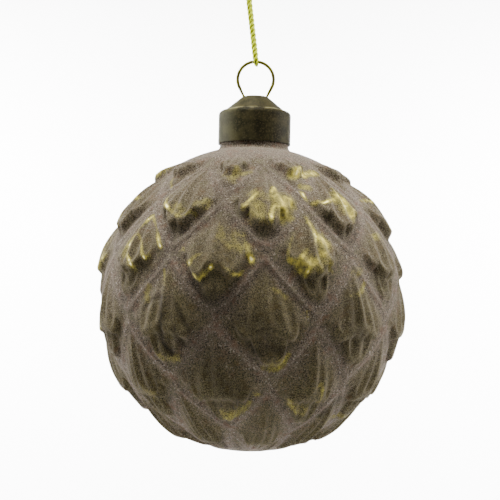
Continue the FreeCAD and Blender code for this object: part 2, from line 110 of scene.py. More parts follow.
distance = DISTANCE_PX / PX_PER_MM
middle = IMAGE_SIDE / 2
aim_down = math.atan((CENTRE_PX[1] - middle) / DISTANCE_PX)
aim_side = math.atan((CENTRE_PX[0] - middle) / DISTANCE_PX)
camera_data = bpy.data.cameras.new("camera")
camera_data.angle = 2 * math.atan(middle / DISTANCE_PX)
camera_data.clip_start = NEAREST_SEEN * MM
camera = bpy.data.objects.new("camera", camera_data)
bpy.context.scene.collection.objects.link(camera)
look = Matrix.Rotation(aim_side, 4, "Z") @ Matrix.Rotation(math.pi / 2 + aim_down, 4, "X")
stand = Matrix.Translation((BALL_CENTRE + Vector((0, -distance, 0))) * MM)
camera.matrix_world = stand @ look @ Matrix.Rotation(ROLL, 4, "Z")
bpy.context.scene.camera = camera

# Strokes are laid on the coating's outside, this far over the plain ball, in mm
COATING_RISE = 0.3


def seen_on_ball(px, py):
    """Longitude and latitude, in degrees, of the ball's point that a pixel of the photo shows."""
    ray = Vector(((px - middle) / DISTANCE_PX, (middle - py) / DISTANCE_PX, -1.0))
    ray = (camera.matrix_world.to_3x3() @ ray).normalized()
    start = Vector((0, -distance, 0))
    along = -start.dot(ray)
    short = start.length_squared - along * along
    reach = along - math.sqrt(max((BALL_RADIUS + COATING_RISE) ** 2 - short, 0.0))
    point = start + ray * reach
    return math.degrees(math.atan2(point.x, -point.y)), math.degrees(math.asin(point.z / point.length))


# Relief of the leaves, in mm and degrees

# Leaves in a row, and the longitude of one midrib in the rows that have odd numbers
LEAVES = 10
LEAF_TURN = 5.5
HALF_LEAF = 180.0 / LEAVES
HALF_LEAF_MM = math.radians(HALF_LEAF) * BALL_RADIUS
# Latitudes of the leaf tips by row, and one row's height; rows go on over the crown and foot
ROW_TIPS = [40.0, 18.0, -5.0, -28.0, -54.0, -79.0]
ROW_MM = math.radians(ROW_TIPS[1] - ROW_TIPS[2]) * BALL_RADIUS
TOP_ROW = -3
LOWEST_ROW = len(ROW_TIPS) + 1
# Where the relief begins below the crown and above the foot, and the shade in its hollows below
# the crown: a latitude, and over how many degrees it grows from there
CROWN = (64.0, 12.0)
FOOT = (-82.0, 22.0)
SHALLOW = (60.0, 25.0)
# Scales: how far their edges climb from tip to side, in rows, and the curve's power; the line
# raised along their edges
LEAF_SLANT = 0.8
SLANT_POWER = 1.2
RIM_WIDTH = 0.95
RIM_HEIGHT = 0.26
# Leaves: level of the ground and height over it, where they start below the scale's top, the
# stretch and power by which they rise, and the width of the drop at their ends
GROUND = -1.0
LEAF_HEIGHT = 1.75
LEAF_START = 1.5
LEAF_RAMP = 14.0
RISE_POWER = 0.8
EDGE_FALL = 2.0
# Lobes: how far above the scale they fan out from, their spread, the depth of a scallop,
# and the height of their veins; lips stand inside their ends
FAN_RISE = 10.0
LOBE_SPREAD = 0.15
SCALLOP = 2.3
LOBE_RELIEF = 0.34
LIP_INSET = 0.8 * EDGE_FALL
LIP_WIDTH = 1.3
# Tongue at the tip: where it ends above the scale's edge, and its half width in lobes
TONGUE_MARGIN = 1.9
TONGUE_LOBES = 0.8
# Shade: distance below the ends of the leaf proper and of the tongue, with its width; how dark
# the grooves between veins are, and at which height of the veins they start and over what drop
LEAF_SHADE = (1.2, 1.6)
TONGUE_SHADE = (1.6, 1.8)
GROOVE_SHADE = 0.5
GROOVE_START = 1 / 6
GROOVE_DROP = 5 / 6
# Rubbed crests: width along the lobe ends, and how much the veins count
CREST_WIDTH = 1.5
VEIN_CREST = 0.6
# Thin flock: distance from the scale's edge where it starts, over how far, and its least share
THIN_START = 0.2
THIN_FADE = 4.0
THIN_LEAST = 0.55
# By row, in mm: height of the tongue at the leaf's tip, and how far above the scale's edge
# the leaf proper ends, at its midrib and at its outer lobes
LEAF_ENDS = [
    (0.15, 5.4, 5.0),
    (0.15, 3.6, 3.4),
    (0.3, 7.8, 6.6),
    (1.0, 9.5, 4.3),
    (1.0, 9.0, 4.3),
    (1.0, 9.0, 4.3),
]
# One leaf left of the middle, by row and number, has wide lobes with a notch between them
NOTCHED_ROW = 2
NOTCHED_NUMBER = -1
NOTCHED_ENDS = (0.45, 8.2, 4.0)
NOTCHED_SPREAD = 0.3
NOTCHED_TONGUE = 0.3

# Leaf tips that stand off the even layout: row, even longitude, real longitude and latitude;
# over how many degrees each pulls, and the pull of the even layout itself
MOVED_TIPS = [
    (1, -30.5, -30.0, 18.0),
    (1, 5.5, 4.5, 18.0),
    (1, 41.5, 38.0, 18.0),
    (2, -48.5, -50.0, -5.0),
    (2, -12.5, -12.7, -5.0),
    (2, 23.5, 23.5, -5.0),
    (3, -30.5, -33.0, -28.0),
    (3, 5.5, 9.5, -28.0),
    (3, 41.5, 44.0, -28.0),
    (4, -12.5, -11.4, -54.0),
    (4, 23.5, 31.0, -56.0),
]
PULL_REACH = 16.0
PULL_REST = 0.25


def direction(longitude, latitude):
    """Unit vectors for longitudes (0 is the front, growing to +X) and latitudes in degrees."""
    lon, lat = np.radians(longitude), np.radians(latitude)
    return np.stack([np.cos(lat) * np.sin(lon), -np.cos(lat) * np.cos(lon), np.sin(lat)], -1)


def even_layout(longitude, latitude):
    """Moves points of the real ball to where they lie in the even layout.

    Each moved tip pulls its neighbourhood by its own offset, with a weight that falls off as
    exp(-(angle / PULL_REACH)^2), so the leaves shift gently together.
    """
    here = direction(longitude, latitude)
    pull = np.full(np.shape(longitude), PULL_REST)
    lon_shift = np.zeros(np.shape(longitude))
    lat_shift = np.zeros(np.shape(longitude))
    for row, even, real_lon, real_lat in MOVED_TIPS:
        near = here @ direction(real_lon, real_lat)
        weight = bump(np.degrees(np.arccos(np.clip(near, -1, 1))), PULL_REACH)
        pull += weight
        lon_shift += weight * (even - real_lon)
        lat_shift += weight * (ROW_TIPS[row] - real_lat)
    return longitude + lon_shift / pull, latitude + lat_shift / pull


def row_coordinate(latitude):
    """Counts rows downwards: 0 at the top row's tips, 1 at the next row's, even in between."""
    tips = np.array(ROW_TIPS)
    down = np.interp(-latitude, -tips, np.arange(len(tips)))
    down = np.where(latitude > tips[0], (tips[0] - latitude) / (tips[0] - tips[1]), down)
    past = len(tips) - 1 + (tips[-1] - latitude) / (tips[-2] - tips[-1])
    return np.where(latitude < tips[-1], past, down)


def row_relief(row, lon, down):
    """One row of scales, for points at these even longitudes and row coordinates.

    A scale has its tip where the row coordinate is its row, and a point aside of its midrib by
    a (0 to 1) has its lower edge at row - LEAF_SLANT a^SLANT_POWER and its upper edge at
    row - 1 - LEAF_SLANT (1 - a)^SLANT_POWER. The lobes of a leaf fan out from a point above
    the scale: fan = distance from the midrib / (below_top + FAN_RISE) / LOBE_SPREAD counts
    lobes. Each lobe ends in a scallop, and drops to the ground over EDGE_FALL. Veins go as
    -cos(pi across), with across from -1 to 1 over each lobe.
    Returns which points are on the row, then their height, raised, face, hollow_shade (painted shade in the
    dips and grooves) and rim.
    """
    offset = lon - LEAF_TURN - (0 if row % 2 else HALF_LEAF)
    aside = np.abs((offset + HALF_LEAF) % (2 * HALF_LEAF) - HALF_LEAF) / HALF_LEAF
    number = np.floor((offset + HALF_LEAF) / (2 * HALF_LEAF))
    notched = (number == NOTCHED_NUMBER) & (row == NOTCHED_ROW)
    ends = LEAF_ENDS[min(max(row, 0), len(LEAF_ENDS) - 1)]
    odd_ends = (*NOTCHED_ENDS, NOTCHED_SPREAD, NOTCHED_TONGUE)
    usual_ends = (*ends, LOBE_SPREAD, TONGUE_LOBES)
    tongue_height, notch_margin, lobe_margin, spread, tongue = (
        np.where(notched, odd, usual) for odd, usual in zip(odd_ends, usual_ends)
    )
    up_mm = (row - LEAF_SLANT * aside**SLANT_POWER - down) * ROW_MM
    down_mm = (down - (row - 1 - LEAF_SLANT * (1 - aside) ** SLANT_POWER)) * ROW_MM
    inside = (up_mm >= 0) & (down_mm > 0)
    from_edge = np.minimum(up_mm, down_mm)
    below_top = np.maximum((down - (row - 1 - LEAF_SLANT)) * ROW_MM, 0.0)
    fan = aside * HALF_LEAF_MM / (below_top + FAN_RISE) / spread
    across = 2 * (fan - np.floor(fan)) - 1
    scallop = SCALLOP * across**2
    outside = ease((fan - tongue) / tongue + 0.5)
    above_low = up_mm - TONGUE_MARGIN - (lobe_margin - TONGUE_MARGIN) * outside - scallop
    above_high = up_mm - notch_margin - (lobe_margin - notch_margin) * outside - scallop
    low_tier = ease(above_low / EDGE_FALL + 0.5)
    high_tier = ease(above_high / EDGE_FALL + 0.5)
    rise = ease((down_mm - LEAF_START) / LEAF_RAMP) ** RISE_POWER
    grown = ease(down_mm / LEAF_RAMP)
    leaf = (tongue_height * low_tier + (LEAF_HEIGHT - tongue_height) * high_tier) * rise
    lip = bump(above_low - LIP_INSET, LIP_WIDTH) * (1 - outside) + bump(above_high - LIP_INSET, LIP_WIDTH)
    lip = np.minimum(lip, 1.0)
    veins = -np.cos(math.pi * across) * (1 - lip) + lip
    rim = bump(from_edge, RIM_WIDTH)
    height = GROUND + leaf + LOBE_RELIEF * veins * low_tier * grown + RIM_HEIGHT * rim
    crest = np.maximum(bump(above_high - LIP_INSET, CREST_WIDTH), VEIN_CREST * (0.5 + 0.5 * veins))
    raised = high_tier * crest * rise
    tiers = 0.5 * (low_tier + high_tier) * rise
    face = ease((from_edge - THIN_START) / THIN_FADE) * (THIN_LEAST + (1 - THIN_LEAST) * tiers)
    # Painted shade for the coating's colour: dips below the lobe ends and grooves between veins
    shade = bump(above_high + LEAF_SHADE[0], LEAF_SHADE[1]) * (1 - outside)
    shade = shade + bump(above_low + TONGUE_SHADE[0], TONGUE_SHADE[1])
    groove_shade = GROOVE_SHADE * ease((GROOVE_START - veins) / GROOVE_DROP) * low_tier
    hollow_shade = np.clip(np.maximum(shade, groove_shade), 0, 1) * grown
    return inside, height, raised, face, hollow_shade, rim


def relief(longitude, latitude):
    """Height over the plain ball in mm, and what the coating needs to know of each point.

    The ball is tiled with pointed scales, staggered by row, and each row fills its own part.
    Returns height, raised (lobe ends and veins), face (the leaf inside its rim), hollow_shade
    (painted shade in grooves and in the dips below lobe ends) and rim (the raised line between scales).
    """
    lon, lat = even_layout(longitude, latitude)
    down = row_coordinate(lat)
    made = [np.full(np.shape(lon), GROUND)] + [np.zeros(np.shape(lon)) for _ in range(4)]
    for row in range(TOP_ROW, LOWEST_ROW + 1):
        inside, *found = row_relief(row, lon, down)
        made = [np.where(inside, new, old) for new, old in zip(found, made)]
    height, raised, face, hollow_shade, rim = made
    fade = ease((CROWN[0] - lat) / CROWN[1]) * ease((lat - FOOT[0]) / FOOT[1])
    soft = fade * ease((SHALLOW[0] - lat) / SHALLOW[1])
    return height * fade, raised * fade, face * fade, hollow_shade * soft, rim * fade


# Glass ball: one closed skin of revolution, with the relief on its outside

# Points in a ring, and rings on the ball, on the flare and on the inside
AROUND = 456
BALL_ROWS = 192
FLARE_ROWS = 6
INNER_ROWS = 8
# Latitude of rings that carry no relief
OFF_BALL = 90.0
# Latitudes of the last ring round the outer foot and of the first round the inner one
OUTER_FOOT = -89.7
INNER_FOOT = -88.0
# The neck's straight part has a ring this far below the mouth, and one this far over the flare
NECK_RING = 4.0
FLARE_RING = 0.6
# Columns stand closer in front, and rows round the middle: the pitch is the even one times
# 1 - density * cos(angle)
FRONT_DENSITY = 0.5
MIDDLE_DENSITY = 0.35
# Angles by which the rows' pitch is looked up: from minus to plus this, in so many points
LOOK_UP = (2.0, 2001)
# Gold out of the photo's sight: longitude and latitude where it starts, and over how many
# degrees; the share of leaves without it, over what span of chance it comes, and its strength
FAR_SIDE = (62.0, 16.0)
FAR_LOW = (-45.0, 20.0)
FAR_BARE = (0.25, 0.3)
FAR_STRENGTH = 0.9
# A leaf's chance holds from this many rows above its tip down to as much above the next tips
CHANCE_RISE = 0.35


def ball_profile():
    """Rings from the mouth down the outside to the bottom, then up the inside to the mouth.

    The outside is a straight neck, a flare along an arc of radius NECK_FLARE and the ball, and
    each runs into the next without an edge.
    Returns radius, height over the ball's centre and latitude (OFF_BALL off the ball) of each
    ring, and how many lie outside.
    """
    sweep = math.atan2(FLARE_REACH, NECK_RADIUS + NECK_FLARE)
    mouth = FLARE_REACH + NECK_LENGTH
    neck = [mouth, mouth - NECK_RING, FLARE_REACH + FLARE_RING]
    flare = sweep * np.arange(FLARE_ROWS) / FLARE_ROWS
    grid = np.linspace(-LOOK_UP[0], LOOK_UP[0], LOOK_UP[1])
    packed = grid - MIDDLE_DENSITY * np.sin(grid)
    first, last = np.interp((sweep, math.radians(OUTER_FOOT)), packed, grid)
    place = np.linspace(first, last, BALL_ROWS)
    outer = place - MIDDLE_DENSITY * np.sin(place)
    inner = np.linspace(math.radians(INNER_FOOT), math.acos(BORE_RADIUS / INNER_RADIUS), INNER_ROWS)
    radius = np.concatenate([
        [NECK_RADIUS] * len(neck),
        NECK_RADIUS + NECK_FLARE * (1 - np.cos(flare)),
        BALL_RADIUS * np.cos(outer),
        INNER_RADIUS * np.cos(inner),
        [BORE_RADIUS],
    ])
    height = np.concatenate([
        neck,
        FLARE_REACH - NECK_FLARE * np.sin(flare),
        BALL_RADIUS * np.sin(outer),
        INNER_RADIUS * np.sin(inner),
        [mouth],
    ])
    latitude = np.full(len(radius), OFF_BALL)
    top = len(neck) + FLARE_ROWS
    latitude[top : top + BALL_ROWS] = np.degrees(outer)
    return radius, height, latitude, top + BALL_ROWS


def ball_faces(rings, split):
    """Quads between neighbouring rings and a fan round each pole.

    The last ring, inside the mouth, is joined to the first one, and the two rings at the foot
    aren't joined, because each ends in its own fan.
    """
    around = np.arange(AROUND)
    after = (around + 1) % AROUND
    upper = np.delete(np.arange(rings), split - 1)[:, None]
    lower = (upper + 1) % rings
    corners = [upper * AROUND + around, lower * AROUND + around]
    corners += [lower * AROUND + after, upper * AROUND + after]
    quads = np.stack(corners, -1).reshape(-1, 4)
    outer_pole = np.full(AROUND, rings * AROUND)
    last, first = (split - 1) * AROUND, split * AROUND
    outer_fan = np.stack([last + around, outer_pole, last + after], -1)
    inner_fan = np.stack([first + after, outer_pole + 1, first + around], -1)
    return quads.tolist() + outer_fan.tolist() + inner_fan.tolist()


def build_ball():
    """The ball's skin: each ring's radius and height swell by 1 + lift / BALL_RADIUS."""
    radius, height, latitude, split = ball_profile()
    even = np.arange(AROUND) * 360.0 / AROUND - 180.0
    longitude = even - FRONT_DENSITY * np.degrees(np.sin(np.radians(even)))
    lon, lat = np.meshgrid(longitude, latitude)
    on_ball = lat != OFF_BALL
    lift, raised, face, hollow_shade, rim = relief(lon, lat)
    edges, stroke_shade = stroke_mask(lon, lat, GOLD_AND_GLINT_EDGES), stroke_mask(lon, lat, SHADE_STROKES)
    gilt_and_glint = np.maximum(edges, stroke_mask(lon, lat, GOLD_PATCHES))
    lift = lift + STROKE_RISE * edges - STROKE_DROP * stroke_shade
    swell = np.where(on_ball, 1 + lift / BALL_RADIUS, 1.0)
    out = radius[:, None] * swell
    turn = np.radians(lon)
    points = np.stack([out * np.sin(turn), -out * np.cos(turn), height[:, None] * swell], -1)
    poles = np.array([[0, 0, points[split - 1, 0, 2]], [0, 0, points[split, 0, 2]]])
    everything = (np.vstack([points.reshape(-1, 3), poles]) + np.array(BALL_CENTRE)) * MM
    ball = mesh_object("glass_ball_skin", everything, ball_faces(len(radius), split))
    away = ease((np.abs(lon) - FAR_SIDE[0]) / FAR_SIDE[1]) * ease((lat - FAR_LOW[0]) / FAR_LOW[1])
    chosen = ease((leaf_chance(lon, lat) - FAR_BARE[0]) / FAR_BARE[1])
    gilt_and_glint = np.maximum(gilt_and_glint, away * chosen * FAR_STRENGTH * raised)
    masks = {"face": face, "hollow_shade": hollow_shade, "rim": rim, "gilt_and_glint": gilt_and_glint, "stroke_shade": stroke_shade}
    for name, values in masks.items():
        add_attribute(ball, name, np.append(np.where(on_ball, values, 0.0), [0.0, 0.0]))
    return ball


# Strokes on the coating, in the photo's pixels: half width, and points with a strength each

# Gold edges are raised and shade strokes are sunk, where they are full, by this much in mm
STROKE_RISE = 0.05
STROKE_DROP = 0.45
# A stroke's cover falls off over this many of its half widths
STROKE_SOFT = 1.5
# Gold: up to 0.4 it's olive, around 0.7 gold and over 1 a painted highlight in near-white gold; the
# strengths follow the worn gold and also paint in how brightly it is lit
GOLD_AND_GLINT_EDGES = [
    (1.2, [(171, 189, 0.25), (166, 195, 0.6), (164.8, 200, 1.2), (166, 204, 0.8)]),
    (1.3, [(166, 204, 0.8), (168.5, 208.5, 1.2), (171.5, 211, 0.4)]),
    (1.0, [(168.5, 184.5, 0.6), (169.5, 179, 0.5), (172, 174, 0.2)]),
    (1.6, [(173, 212, 0.45), (178, 217, 0.5), (184, 217.5, 0.4), (193, 212, 0.3), (203, 206, 0.3)]),
    (1.4, [(128.5, 204.5, 0.9), (132, 201, 1.2), (137, 199.5, 0.9), (142, 198.5, 0.3)]),
    (1.3, [(150, 213, 0.9), (146, 217, 1.2), (142.5, 222, 0.6), (139, 227, 0.6), (136, 232, 1.1)]),
    (1.3, [(136, 232, 1.1), (131.5, 238, 0.6), (129, 244, 1.15), (129, 252, 0.7), (130, 258, 0.8)]),
    (1.4, [(130, 258, 0.8), (133.5, 265, 1.2), (134.5, 267.5, 0.5)]),
    (1.0, [(136, 232, 0.4), (139, 236, 0.3), (141, 243, 0.6), (142, 251, 0.8), (144.5, 258, 1.2)]),
    (1.1, [(144.5, 258, 1.1), (147.5, 256, 0.5), (148, 251.5, 0.2)]),
    (1.2, [(149, 213, 0.9), (152, 219, 0.35), (153.5, 228, 0.35), (155, 236, 0.9), (157.5, 245.5, 1.2)]),
    (1.1, [(161, 269, 0.6), (161.5, 276, 0.4), (162.5, 286, 0.3)]),
    (1.0, [(177, 250, 0.35), (181, 246.5, 0.4), (183, 250, 0.3)]),
    (1.6, [(186, 260.5, 0.6), (189.5, 263, 1.25), (192, 259.5, 0.5), (196, 255, 0.4), (200, 253.5, 0.3)]),
    (1.2, [(192.5, 273.5, 0.6), (194.5, 276, 1.0), (198, 279, 0.8), (201, 276.5, 0.6), (204, 273.5, 0.8)]),
    (1.3, [(204, 273.5, 0.8), (208, 270, 0.5), (211, 267.5, 1.2), (214, 265, 0.4)]),
    (2.0, [(244, 240, 0.3), (247, 246, 0.6), (249, 252, 0.7), (251.5, 257.5, 1.1), (252, 260, 0.6)]),
    (1.3, [(226, 268, 0.2), (230, 272, 0.4), (235, 274.5, 0.6), (239, 274, 0.6), (242, 270, 0.4)]),
    (2.0, [(243, 207, 0.6), (250, 201, 0.7), (257, 193, 0.6)]),
    (1.6, [(250, 212, 0.4), (256, 214, 0.5), (263, 219, 0.4), (266, 222, 0.35)]),
    (1.7, [(271, 222, 0.8), (271, 215, 0.95), (274, 208, 0.8), (281, 206, 0.7), (289, 206, 0.6)]),
    (1.7, [(270, 200, 0.4), (271, 193, 0.6), (273.5, 187, 0.95), (276, 190, 0.5)]),
    (3.2, [(293, 174, 0.85), (300, 171, 0.92), (308, 170, 0.92), (317, 169.5, 0.85)]),
    (1.3, [(319, 162, 0.3), (327, 165, 0.5), (334, 167, 0.3)]),
    (1.4, [(302, 188, 0.7), (305, 192, 1.0), (308, 196, 0.7)]),
    (1.6, [(313, 201, 0.4), (320, 201, 0.65), (326, 202, 1.0), (333, 200, 0.8)]),
    (3.2, [(336, 193, 0.8), (341, 199, 0.9), (347, 206, 0.8), (351, 214, 0.75), (351, 220, 0.5)]),
    (1.7, [(364, 198, 0.4), (370, 202, 0.8), (374, 203, 0.5)]),
    (2.6, [(376, 237, 0.4), (379, 234, 0.55), (384, 234, 0.45), (387, 240, 0.35)]),
    (1.9, [(308, 215, 0.4), (311, 222, 0.65), (315, 230, 0.85), (317, 238, 0.9), (316, 244, 0.4)]),
    (1.1, [(296, 228, 0.2), (292, 240, 0.4), (289, 250, 0.35), (290, 257, 0.45)]),
    (1.8, [(290, 258, 0.6), (293, 261, 0.85), (298, 261.5, 0.85), (302, 257, 0.8), (307, 250.5, 0.5)]),
    (1.8, [(297, 264, 0.5), (302, 270, 0.6), (307, 275, 0.8), (309, 268, 0.95), (310, 262, 0.4)]),
    (1.8, [(354, 296, 0.25), (361, 294, 0.4), (367, 289, 0.5), (368, 283, 0.35)]),
    (1.5, [(272, 288, 0.25), (280, 291, 0.35), (287, 297, 0.35)]),
    (2.6, [(264, 369, 0.3), (270, 371, 0.4), (276, 372, 0.5), (282, 367, 0.5), (287, 361, 0.45)]),
    (2.4, [(287, 361, 0.45), (290, 357, 0.35)]),
    (2.4, [(222, 411, 0.35), (225, 417, 0.45), (228, 421, 0.5), (234, 419, 0.5), (240, 416, 0.5)]),
    (2.2, [(240, 416, 0.5), (246, 411, 0.5), (250, 406, 0.4)]),
    (1.6, [(254, 399, 0.35), (258, 398, 0.45), (262, 397, 0.25)]),
    (2.0, [(290, 401, 0.35), (291, 408, 0.42), (296, 413, 0.42), (303, 415, 0.4), (304, 411, 0.3)]),
    (1.5, [(322, 384, 0.42), (322, 390, 0.42), (320, 397, 0.4), (316, 403, 0.25)]),
    (1.5, [(310, 388, 0.2), (320, 386, 0.35)]),
]
GOLD_PATCHES = [
    (3.0, [(230, 176, 0.35), (238, 170, 0.4), (250, 168, 0.35)]),
    (2.5, [(222, 172, 0.2), (233, 178, 0.3)]),
    (3.0, [(126.5, 243, 0.6), (125.5, 254, 0.55)]),
    (4.0, [(177, 205, 0.3), (183, 211, 0.3)]),
    (4.0, [(205, 200, 0.4), (197, 206, 0.3)]),
    (2.5, [(131, 262, 0.45), (134, 268, 0.35)]),
    (3.5, [(146, 286, 0.3), (143, 298, 0.3)]),
    (5.0, [(232, 242, 0.3), (240, 247, 0.35)]),
    (4.0, [(221, 228, 0.28), (221, 238, 0.28)]),
    (5.0, [(228, 238, 0.2), (240, 232, 0.25)]),
    (6.0, [(277, 198, 0.75), (288, 200, 0.75)]),
    (6.0, [(281, 206, 0.75), (286, 212, 0.7)]),
    (3.5, [(280, 213, 0.5), (285, 219, 0.45)]),
    (5.5, [(257, 206, 0.45), (258, 216, 0.4)]),
    (4.0, [(252, 192, 0.35), (260, 196, 0.35)]),
    (3.5, [(303, 183, 0.45), (311, 184, 0.45)]),
    (6.0, [(339, 199, 0.9), (347, 210, 0.9)]),
    (4.5, [(322, 238, 0.8), (326, 242, 0.7)]),
    (4.0, [(324, 244, 0.7), (323, 255, 0.6)]),
    (4.5, [(328, 262, 0.4), (333, 268, 0.3)]),
    (4.5, [(303, 265, 0.6), (314, 263, 0.6)]),
    (3.5, [(318, 260, 0.5), (319, 268, 0.5)]),
    (4.0, [(356, 272, 0.25), (364, 270, 0.3)]),
    (4.0, [(162, 359, 0.35), (174, 360, 0.3)]),
    (4.0, [(270, 368, 0.3), (284, 362, 0.35)]),
    (4.0, [(229, 416, 0.35), (243, 411, 0.35)]),
    (4.0, [(293, 407, 0.25), (304, 409, 0.25)]),
    (4.0, [(330, 423, 0.3), (344, 417, 0.3)]),
    (6.0, [(150, 392, 0.22), (156, 398, 0.22)]),
    (4.0, [(309, 314, 0.2), (311, 324, 0.2)]),
]
# Painted shade: the deep places below leaf ends and between leaves, darkened in the coating's colour as well
# as sunk
SHADE_STROKES = [
    (4.0, [(178, 228, 0.15), (190, 230, 0.25), (205, 220, 0.3)]),
    (4.0, [(252, 231, 0.1), (264, 237, 0.2), (282, 231, 0.2)]),
    (4.0, [(146, 276, 0.3), (156, 268, 0.35), (162, 250, 0.4)]),
    (3.5, [(190, 282, 0.4), (204, 284, 0.3), (213, 276, 0.2)]),
    (2.2, [(213, 276, 0.3), (214, 285, 0.4), (214, 295, 0.4)]),
    (3.0, [(284, 262, 0.3), (292, 273, 0.3), (304, 284, 0.3), (320, 287, 0.2)]),
    (1.5, [(317, 249, 0.4), (323, 266, 0.7)]),
    (2.0, [(160, 297, 0.8), (162, 318, 0.8), (161, 340, 0.8), (166, 349, 0.9), (172, 354, 0.9)]),
    (1.6, [(175, 305, 0.5), (180, 318, 0.6), (188, 330, 0.8)]),
    (1.8, [(174, 326, 0.4), (177, 340, 0.6), (182, 348, 0.6)]),
    (1.6, [(141, 310, 0.5), (147, 302, 0.6), (158, 297, 0.5)]),
    (3.0, [(119, 298, 0.3), (118, 310, 0.2)]),
    (2.6, [(243, 337, 0.5), (250, 347, 0.6), (258, 354, 0.5)]),
    (3.0, [(268, 346, 0.5), (276, 350, 0.5), (284, 352, 0.6)]),
    (9.0, [(206, 300, 0.4), (236, 316, 0.4), (262, 330, 0.4)]),
    (9.0, [(200, 350, 0.3), (216, 380, 0.35), (236, 396, 0.35)]),
    (8.0, [(352, 306, 0.3), (356, 322, 0.35), (358, 338, 0.35)]),
    (6.0, [(222, 184, 0.35), (238, 188, 0.4), (248, 186, 0.35)]),
    (5.0, [(217, 192, 0.35), (217, 214, 0.35)]),
    (5.0, [(246, 198, 0.3), (234, 206, 0.25), (233, 218, 0.4)]),
    (5.0, [(247, 227, 0.3), (249, 236, 0.35)]),
    (5.0, [(252, 268, 0.25), (266, 266, 0.3), (264, 280, 0.2)]),
    (5.0, [(166, 232, 0.2), (169, 250, 0.3)]),
    (4.0, [(200, 240, 0.2), (202, 249, 0.25)]),
    (5.0, [(263, 244, 0.2), (265, 252, 0.3)]),
    (7.0, [(180, 360, 0.2), (187, 376, 0.25)]),
    (5.0, [(340, 372, 0.15), (345, 380, 0.2)]),
    (5.0, [(134, 310, 0.15), (139, 316, 0.15)]),
    (5.0, [(276, 404, 0.15), (281, 412, 0.2)]),
    (3.0, [(322, 419, 0.4), (331, 413, 0.4), (342, 402, 0.3)]),
]


def stroke_mask(longitude, latitude, strokes):
    """How strongly the strokes cover each point, from 0 up.

    Each stroke is laid on the ball as straight runs between its points. Its cover is
    strength * exp(-(distance / (STROKE_SOFT half widths))^2), with the strength running evenly
    from point to point, and the strongest stroke counts.
    """
    here = direction(longitude, latitude) * BALL_RADIUS
    total = np.zeros(np.shape(longitude))
    for half_width, places in strokes:
        line = [direction(*seen_on_ball(px, py)) * BALL_RADIUS for px, py, _ in places]
        reach = STROKE_SOFT * half_width / PX_PER_MM
        for index in range(len(line) - 1):
            first, run = line[index], line[index + 1] - line[index]
            along = np.clip(((here - first) @ run) / (run @ run), 0, 1)
            apart = np.linalg.norm(here - first - along[..., None] * run, axis=-1)
            strength = places[index][2] + (places[index + 1][2] - places[index][2]) * along
            total = np.maximum(total, strength * bump(apart, reach))
    return total


def leaf_chance(longitude, latitude):
    """One number from 0 to 1 for each leaf, the same every time.

    It is what follows the decimal point in 43758.5453 sin(12.9898 row + 78.233 leaf + 4).
    """
    lon, lat = even_layout(longitude, latitude)
    row = np.floor(row_coordinate(lat) + CHANCE_RISE)
    offset = lon - LEAF_TURN - np.where(row % 2, 0, HALF_LEAF)
    number = np.floor((offset + HALF_LEAF) / (2 * HALF_LEAF)) % LEAVES
    value = np.sin(row * 12.9898 + number * 78.233 + 4.0) * 43758.5453
    return value - np.floor(value)


# Materials. Places are the object's own coordinates in metres, and grain sizes are in mm.

NOISE = "ShaderNodeTexNoise"
STORED = "ShaderNodeAttribute"
STEP = "ShaderNodeMapRange"
MATHS = "ShaderNodeMath"
BUMP = "ShaderNodeBump"
AXES = "ShaderNodeSeparateXYZ"
# A mix of colours takes its factor at 0 and the colours at 6 and 7, and gives its result at 2
MIX = "ShaderNodeMix"


def fill(tree, node, inputs):
    """Gives each input its constant, or links it to the socket given for it."""
    for key, value in inputs.items():
        if isinstance(value, bpy.types.NodeSocket):
            tree.links.new(value, node.inputs[key])
        else:
            node.inputs[key].default_value = value


def add(tree, kind, inputs, output=0, **settings):
    """Adds a node with its settings and inputs, and returns the output asked for."""
    node = tree.nodes.new(kind)
    for key, value in settings.items():
        setattr(node, key, value)
    fill(tree, node, inputs)
    return node.outputs[output]


def layered(tree, colour, layers):
    """Lays colours over a colour, one after the other.

    Each layer has a value that drives it, where on it the layer starts and is full, its cover
    where it is full, and its colour. The cover grows along a smooth step.
    """
    for value, start, full, cover, over in layers:
        span = {"Value": value, "From Min": start, "From Max": full, "To Max": cover}
        factor = add(tree, STEP, span, interpolation_type="SMOOTHSTEP")
        over = linear(over) if isinstance(over, str) else over
        colour = add(tree, MIX, {0: factor, 6: colour, 7: over}, 2, data_type="RGBA")
    return colour


def use(name, finish, *pieces):
    """Makes a material and gives it to each piece, as its only one.

    The finish is a function of the material's tree and the socket of places, and returns the
    inputs of the surface's shader.
    """
    material = bpy.data.materials.new(name)
    material.use_nodes = True
    tree = material.node_tree
    place = add(tree, "ShaderNodeTexCoord", {}, "Object")
    fill(tree, tree.nodes["Principled BSDF"], finish(tree, place))
    for piece in pieces:
        piece.data.materials.clear()
        piece.data.materials.append(material)


